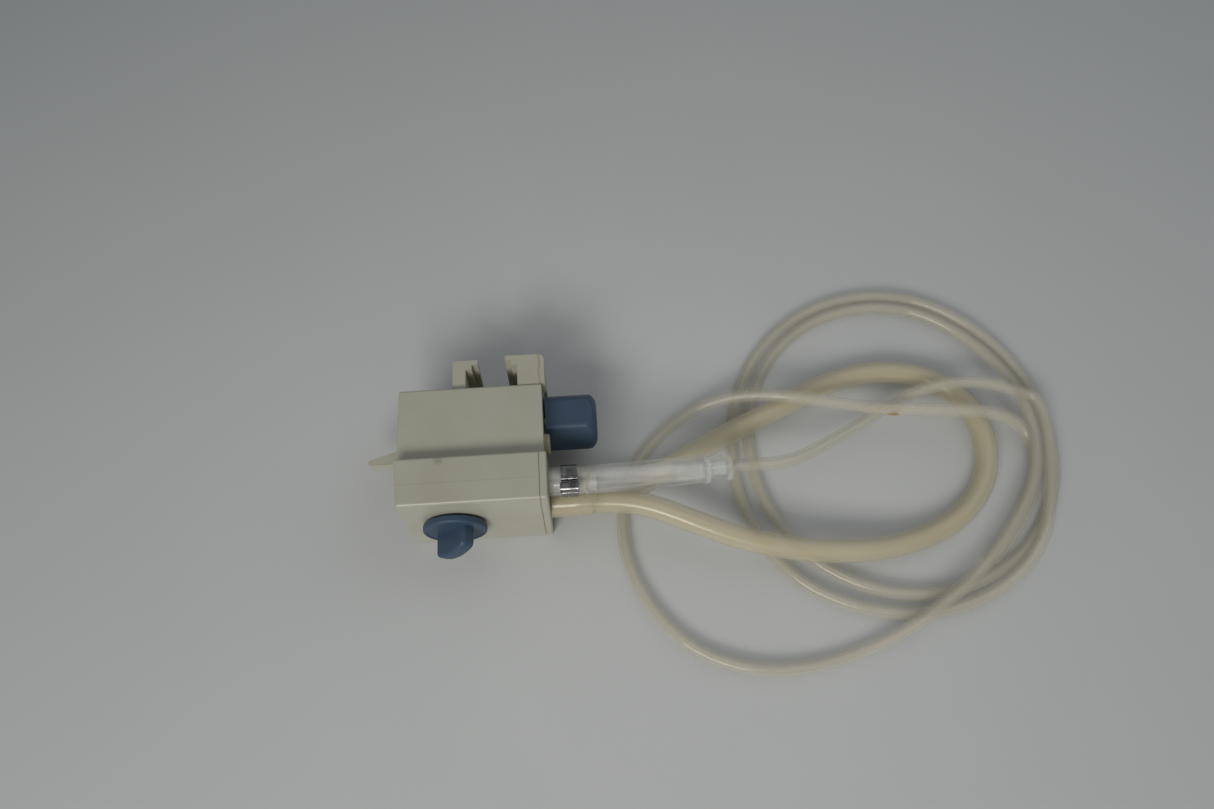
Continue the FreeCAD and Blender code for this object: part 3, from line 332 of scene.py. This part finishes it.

# the clear hose carries painted highlight lines along its length
clear_tube = tube("clear_tube", CLEAR_TINT, 0.10, clarity=0.35, cover=0.25, highlight_streaking=0.17, marks=glue_marks)
thick_tube = tube("thick_tube", THICK_TINT, 0.17, clarity=0.0, cover=0.42)
thin_tube = tube("thin_tube", THIN_TINT, 0.16, clarity=0.10, cover=0.28, marks=stain_marks)
FINISH = {
    "ivory_case": moulded("ivory_plastic", CASE_IVORY, CASE_WORN, 0.36),
    "ivory_jaw": moulded("jaw_plastic", JAW_IVORY, JAW_WORN, 0.42),
    # the blue knob's lighter edge colour is partly rubbed wear and partly a painted rim highlight
    "blue_knob": moulded("knob_plastic", KNOB_BLUE, rgb(0.10, 0.15, 0.21), 0.52, edge_share=0.4, coat=0.03),
    "white_plastic": moulded("port_plastic", PORT_WHITE, rgb(0.55, 0.55, 0.50), 0.45),
    "pale_rubber": moulded("gasket_rubber", PALE_RUBBER, rgb(0.35, 0.33, 0.26), 0.7),
    "black_rubber": moulded("rubber", BLACK_RUBBER, rgb(0.07, 0.07, 0.07), 0.7),
    "steel": metal("turned_steel", STEEL_GREY, 0.28, ALONG_X),
    "band_steel": metal("band_steel", BAND_GREY, 0.24, ALONG_Y, brushing=500),
    "brass": metal("brass", BRASS_GOLD, 0.25, ALONG_X),
    "clear_tube": clear_tube,
    "thick_tube": thick_tube,
    "thin_tube": thin_tube,
    "clear_fitting": tube("clear_fitting", FITTING_TINT, 0.10, clarity=0.35, cover=0.42),
}
OWN_FINISH = {
    "front_housing": moulded("front_plastic", CASE_IVORY, FRONT_WORN, 0.34, marks=front_marks),
    "fixed_jaw": moulded("fixed_jaw_plastic", JAW_IVORY, JAW_WORN, 0.42, marks=jaw_marks),
    "vent_boss": moulded("boss_plastic", BOSS_CREAM, FRONT_WORN, 0.40),
    "vent_filter": moulded("vent_plug", PLUG_BROWN, rgb(0.36, 0.32, 0.20), 0.6),
}
slot_of = {row["node"]: row["material_slot"] for row in frame["record"]["subparts"]}
for node_name, node_object in frame["nodes"].items():
    node_object.data.materials.clear()
    node_object.data.materials.append(OWN_FINISH.get(node_name, FINISH[slot_of[node_name]]))

# ---------------------------------------------------------------- hoses
CLEAR_DIAMETER = 13.0
THICK_DIAMETER = 11.11
THIN_DIAMETER = 6.35
CLEAR_WALL = 1.9
THICK_WALL = 2.3
THIN_WALL = 1.4
WIDENING = 1.14             # of the thin hose's last stretch

# How high a hose's middle is where it lies on the floor.
THICK_LOW = 5.6
THIN_LOW = 3.2
WIDE_LOW = 3.7

CLEAR_ROUTE = [(65.4, 11.0, 39.7), (88.0, 11.0, 39.7), (111.0, 12.2, 38.4), (134.0, 14.4, 35.6)]
THICK_ROUTE = [
    (65.4, 7.5, 23.0), (87, 7.5, 23.0), (108, 5, 22.2), (132, -5, 18), (153, -13, 14.5), (177, -19, 13.6),
    (201, -21, 12.2), (227, -18, 7), (252, -9, THICK_LOW), (270, 7, THICK_LOW), (278, 29, THICK_LOW),
    (274, 53, THICK_LOW), (257, 69, THICK_LOW), (232, 74, THICK_LOW), (206, 69, 6.5), (181, 55, 11),
    (157, 43, 14), (138, 35, 11), (121, 25.5, 11.5), (104, 15.5, 13.2), (85, 12.5, 11), (65.7, 12.5, 10.0)]
THIN_LEAD = [
    (146.3, 15.6, 34.1), (162, 16.6, 31), (178, 20, 25), (199, 32, 17), (220, 45, 9), (235, 54, 10),
    (248, 57, 15.5), (264, 60, 16), (282, 60, 13.5), (297, 55, 11)]
THIN_LOOP = [
    (257, -34, 10.4), (239, -46, 11), (221, -57, 7), (200, -64, THIN_LOW), (175, -70, THIN_LOW),
    (149, -69, THIN_LOW), (125, -59, THIN_LOW), (108, -40, THIN_LOW), (98, -16, THIN_LOW),
    (98, 10, THIN_LOW), (105, 31, THIN_LOW), (119, 47, THIN_LOW), (137, 59, 5), (157, 60, 15),
    (177, 56, 21), (196, 52, 20.5), (218, 48, 18.5)]
THIN_END = [
    (241, 46, 17), (260, 44, 18), (278, 43.5, 15.0), (292, 41.5, 8.5), (301, 33, WIDE_LOW),
    (300, 19, WIDE_LOW), (294, 5, WIDE_LOW), (285, -8, WIDE_LOW), (275, -19, WIDE_LOW), (266, -27, WIDE_LOW)]

# The turns between lead and loop, as distances from the middle of the coil at even angles.
COIL_MIDDLE = (232, 30)
COIL_FROM = 15              # degrees
COIL_STEP = -30
COIL_REACH = [79, 74, 81, 81, 82, 85, 82, 81, 86, 91, 93, 88, 82,
              79, 76, 73, 72, 72, 71, 73, 79, 84, 86, 80, 73, 67, 63]
COIL_RISE = {0: 10.4, 1: 9.2, 2: 7.0, 24: 9.2, 25: 11.0, 26: 10.4}   # where the turns ride over others


def coil_turns():
    points = []
    for step, reach in enumerate(COIL_REACH):
        angle = math.radians(COIL_FROM + COIL_STEP * step)
        points.append((COIL_MIDDLE[0] + reach * math.cos(angle), COIL_MIDDLE[1] + reach * math.sin(angle),
                       COIL_RISE.get(step, THIN_LOW)))
    return points


def hose(name, route, diameter, wall, finish, widened_from=None):
    """A hollow tube on one smooth line, wider from one of its points on if asked."""
    curve = bpy.data.curves.new(name, "CURVE")
    curve.dimensions = "3D"
    spline = curve.splines.new("NURBS")
    spline.points.add(len(route) - 1)
    for index, place in enumerate(route):
        point = spline.points[index]
        point.co = (*at(*place), 1.0)
        if widened_from is not None and index >= widened_from:
            point.radius = WIDENING
    spline.order_u = 3
    spline.use_endpoint_u = True
    spline.resolution_u = 10
    curve.bevel_depth = diameter / 2 / MM_PER_METRE
    curve.bevel_resolution = 8
    curve.use_fill_caps = False
    curve.materials.append(finish)
    piece = link(name, curve)
    solid = piece.modifiers.new("wall", "SOLIDIFY")
    solid.thickness = wall / MM_PER_METRE
    solid.offset = -1
    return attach(piece, "case")


def turned(name, start, heading, profile, finish, sides=64):
    """A closed turned solid: profile is a ring of (distance along, radius) in millimetres."""
    build = bmesh.new()
    turn = heading.to_track_quat("Z", "Y")
    rings = []
    for side in range(sides):
        angle = 2 * math.pi * side / sides
        ring = []
        for distance, radius in profile:
            corner = Vector((radius * math.cos(angle), radius * math.sin(angle), distance))
            ring.append(build.verts.new(start + turn @ corner / MM_PER_METRE))
        rings.append(ring)
    for side, ring in enumerate(rings):
        after = rings[(side + 1) % sides]
        for spot in range(len(profile)):
            follow = (spot + 1) % len(profile)
            build.faces.new((ring[spot], after[spot], after[follow], ring[follow])).smooth = True
    bmesh.ops.recalc_face_normals(build, faces=build.faces)
    mesh = bpy.data.meshes.new(name)
    build.to_mesh(mesh)
    build.free()
    mesh.materials.append(finish)
    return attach(link(name, mesh), "case")


# Each end of the thick hose is stretched over its barb and tapers down to the plain hose.
SWELL_RADIUS = 6.85
SWELL_LENGTH = 17.5
SWELL_LIP = ((0.0, 0.5), (0.25, 0.1), (0.7, 0.0))       # distance along, and how far below the radius
TAPER = 3.5
TAPER_STEPS = 8
PROUD = 0.02                # how far outside the plain hose the taper ends
SUNK = 0.05                 # how far inside the plain hose's skin the stretched end's bore is


def swell_profile():
    plain = THICK_DIAMETER / 2
    outer = [(distance, SWELL_RADIUS - below) for distance, below in SWELL_LIP]
    for step in range(TAPER_STEPS + 1):
        share = step / TAPER_STEPS
        fall = (1 - math.cos(math.pi * share)) / 2
        outer.append((SWELL_LENGTH + TAPER * share, SWELL_RADIUS + (plain + PROUD - SWELL_RADIUS) * fall))
    return outer + [(SWELL_LENGTH + TAPER, plain - SUNK), (0.0, plain - SUNK)]


THICK_ENDS = {"supply": (THICK_ROUTE[0], THICK_ROUTE[1]), "exhaust": (THICK_ROUTE[-1], THICK_ROUTE[-2])}
for port, (start, after) in THICK_ENDS.items():
    heading = at(*after) - at(*start)
    swell = turned(f"thick_hose_{port}_end", at(*start), heading, swell_profile(), thick_tube)

thin_start = THIN_LEAD + coil_turns() + THIN_LOOP
clear_hose = hose("clear_hose_tube", CLEAR_ROUTE, CLEAR_DIAMETER, CLEAR_WALL, clear_tube)
thick_hose = hose("thick_hose_tube", THICK_ROUTE, THICK_DIAMETER, THICK_WALL, thick_tube)
thin_hose = hose("thin_hose_tube", thin_start + THIN_END, THIN_DIAMETER, THIN_WALL, thin_tube,
                 widened_from=len(thin_start))
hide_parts("clear_hose")
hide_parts("thick_hose")
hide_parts("thin_hose_lead", "thin_hose_coil", "thin_hose_loop")

# ---------------------------------------------------------------- floor and light
FLOOR_REACH = 3.0
FLOOR_CORNERS = [(-FLOOR_REACH, -FLOOR_REACH, 0), (FLOOR_REACH, -FLOOR_REACH, 0),
                 (FLOOR_REACH, FLOOR_REACH, 0), (-FLOOR_REACH, FLOOR_REACH, 0)]
FLOOR_LIT_MIDDLE = (0.10, 0.0, 0.0)         # painted shade: the floor's colour darkens away from here, standing in for light falling off towards the corners

floor_mesh = bpy.data.meshes.new("floor")
floor_mesh.from_pydata(FLOOR_CORNERS, [], [(0, 1, 2, 3)])
floor = link("floor", floor_mesh)
paint = Shader("floor_paint_and_shade")
pale = paint.mix(paint.remap(paint.noise(PAINT, 3), *COMMON), *PAINT_PALE)
# painted shade: the floor turns from its pale paint near the middle to a darker colour further out, standing
# in for light falling off towards the corners
paint.set(Base_Color=paint.mix(paint.spot(FLOOR_LIT_MIDDLE, 0.05, 0.55), FLOOR_SHADE_COLOUR, pale))
paint.set(Roughness=0.7)
floor_mesh.materials.append(paint.material)


def area_light(name, place, target, size, watts, tint):
    data = bpy.data.lights.new(name, "AREA")
    data.shape = "RECTANGLE"
    data.size, data.size_y = size
    data.energy = watts
    data.color = tint
    lamp = link(name, data)
    lamp.location = place
    lamp.rotation_euler = (Vector(target) - Vector(place)).to_track_quat("-Z", "Y").to_euler()


area_light("key", (-0.35, -1.05, 0.88), (0.08, 0.0, 0.0), (0.8, 0.4), watts=10.4, tint=(1.0, 0.98, 0.95))
area_light("fill", (0.9, 0.6, 1.2), (0.1, 0.0, 0.0), (1.4, 1.4), watts=3.1, tint=(0.94, 0.97, 1.0))
world = bpy.data.worlds.new("studio")
world.use_nodes = True
surround = world.node_tree.nodes["Background"]
surround.inputs["Color"].default_value = rgb(0.93, 0.96, 1.0)
surround.inputs["Strength"].default_value = 0.21
bpy.context.scene.world = world
bpy.context.scene.view_settings.view_transform = "Standard"

bpy.context.view_layer.update()
